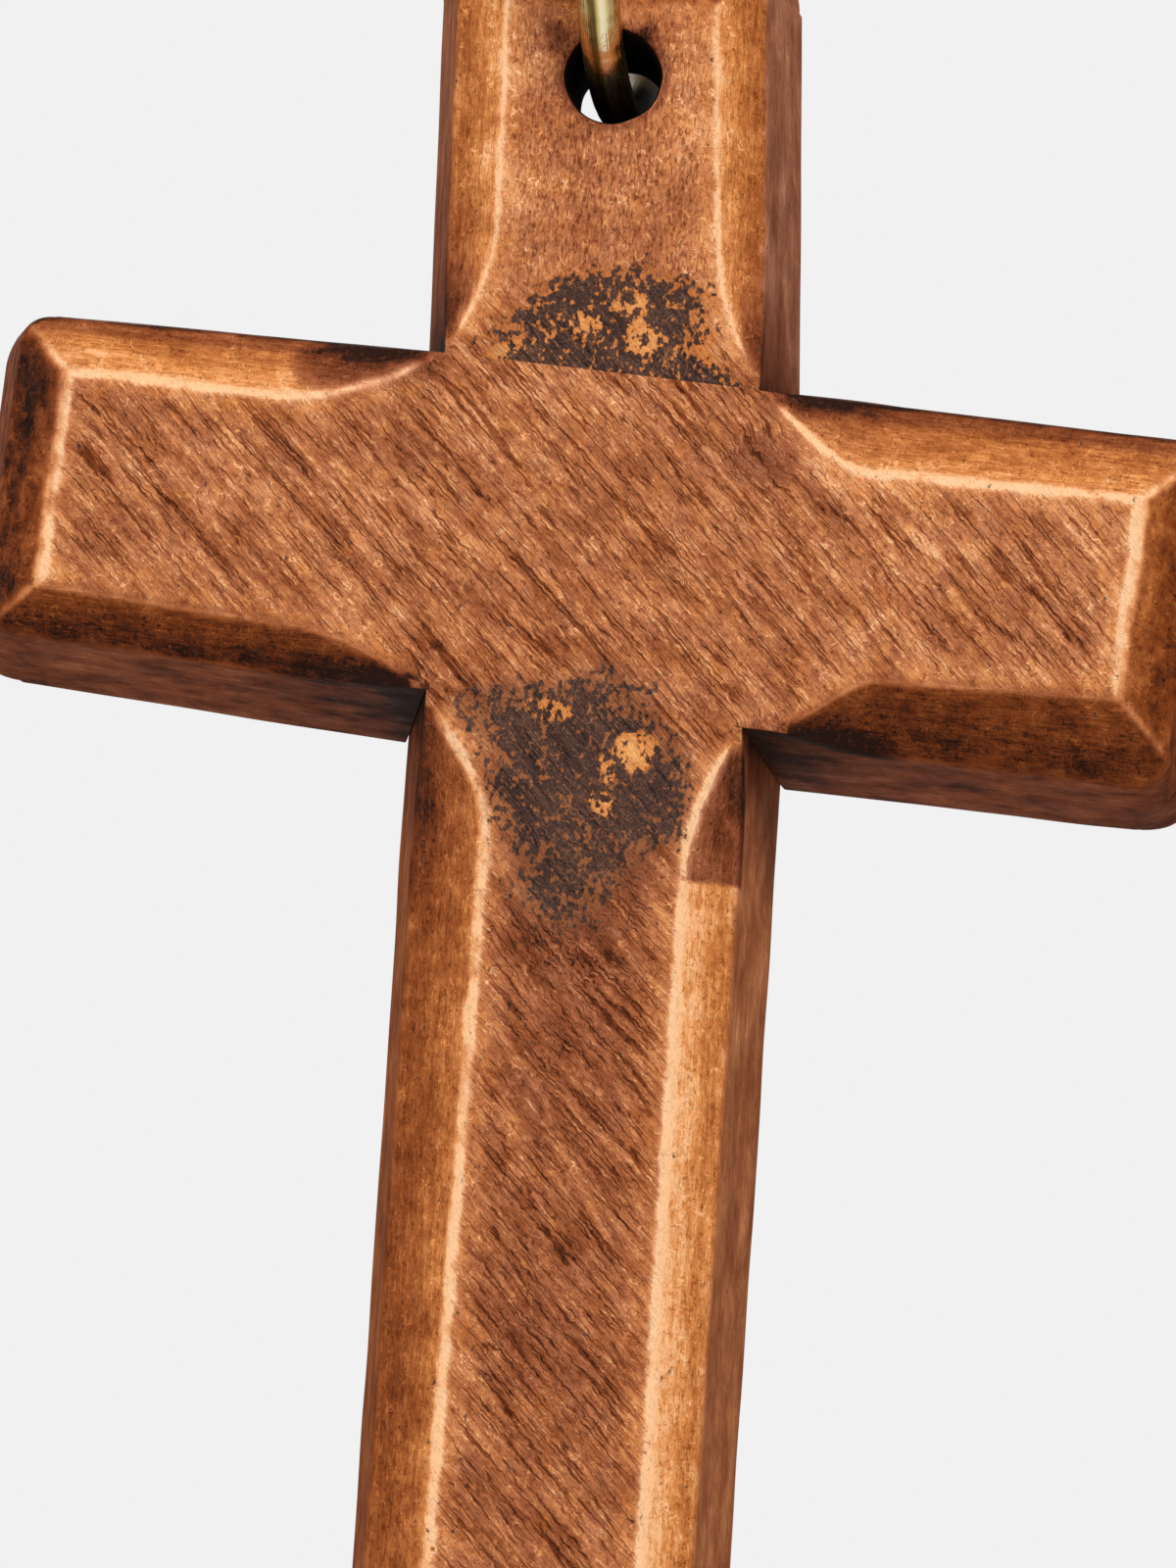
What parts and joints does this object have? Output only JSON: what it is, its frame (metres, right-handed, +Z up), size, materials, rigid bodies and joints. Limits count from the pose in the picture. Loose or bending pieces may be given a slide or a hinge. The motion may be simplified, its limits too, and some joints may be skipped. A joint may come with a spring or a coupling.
{
  "type": "cross pendant",
  "caption": "Plain Latin cross pendant: two halved wooden bars with hand-cut front chamfers that die away at the crossing, hung on a brass wire ring through its top.",
  "frame": {"origin": "centre of the ring's eye", "axes": "+Z up along the upright, +X to the right seen from the front, the front faces -Y"},
  "size_m": [0.0344, 0.0131, 0.0574],
  "materials": {
    "upright_wood": "satin",
    "crossbar_wood": "satin",
    "ring_brass": "polished, slightly dulled"
  },
  "bodies": {
    "ring": {"ring": "ring_brass"},
    "cross": {"upright": "upright_wood", "crossbar": "crossbar_wood"}
  },
  "joints": [
    {"name": "ring_swing", "type": "hinge", "parent": "ring", "child": "cross", "pos_m": [0, 0, -0.0056], "axis": [0, 1, 0], "range_deg": [-126, 120]}
  ]
}
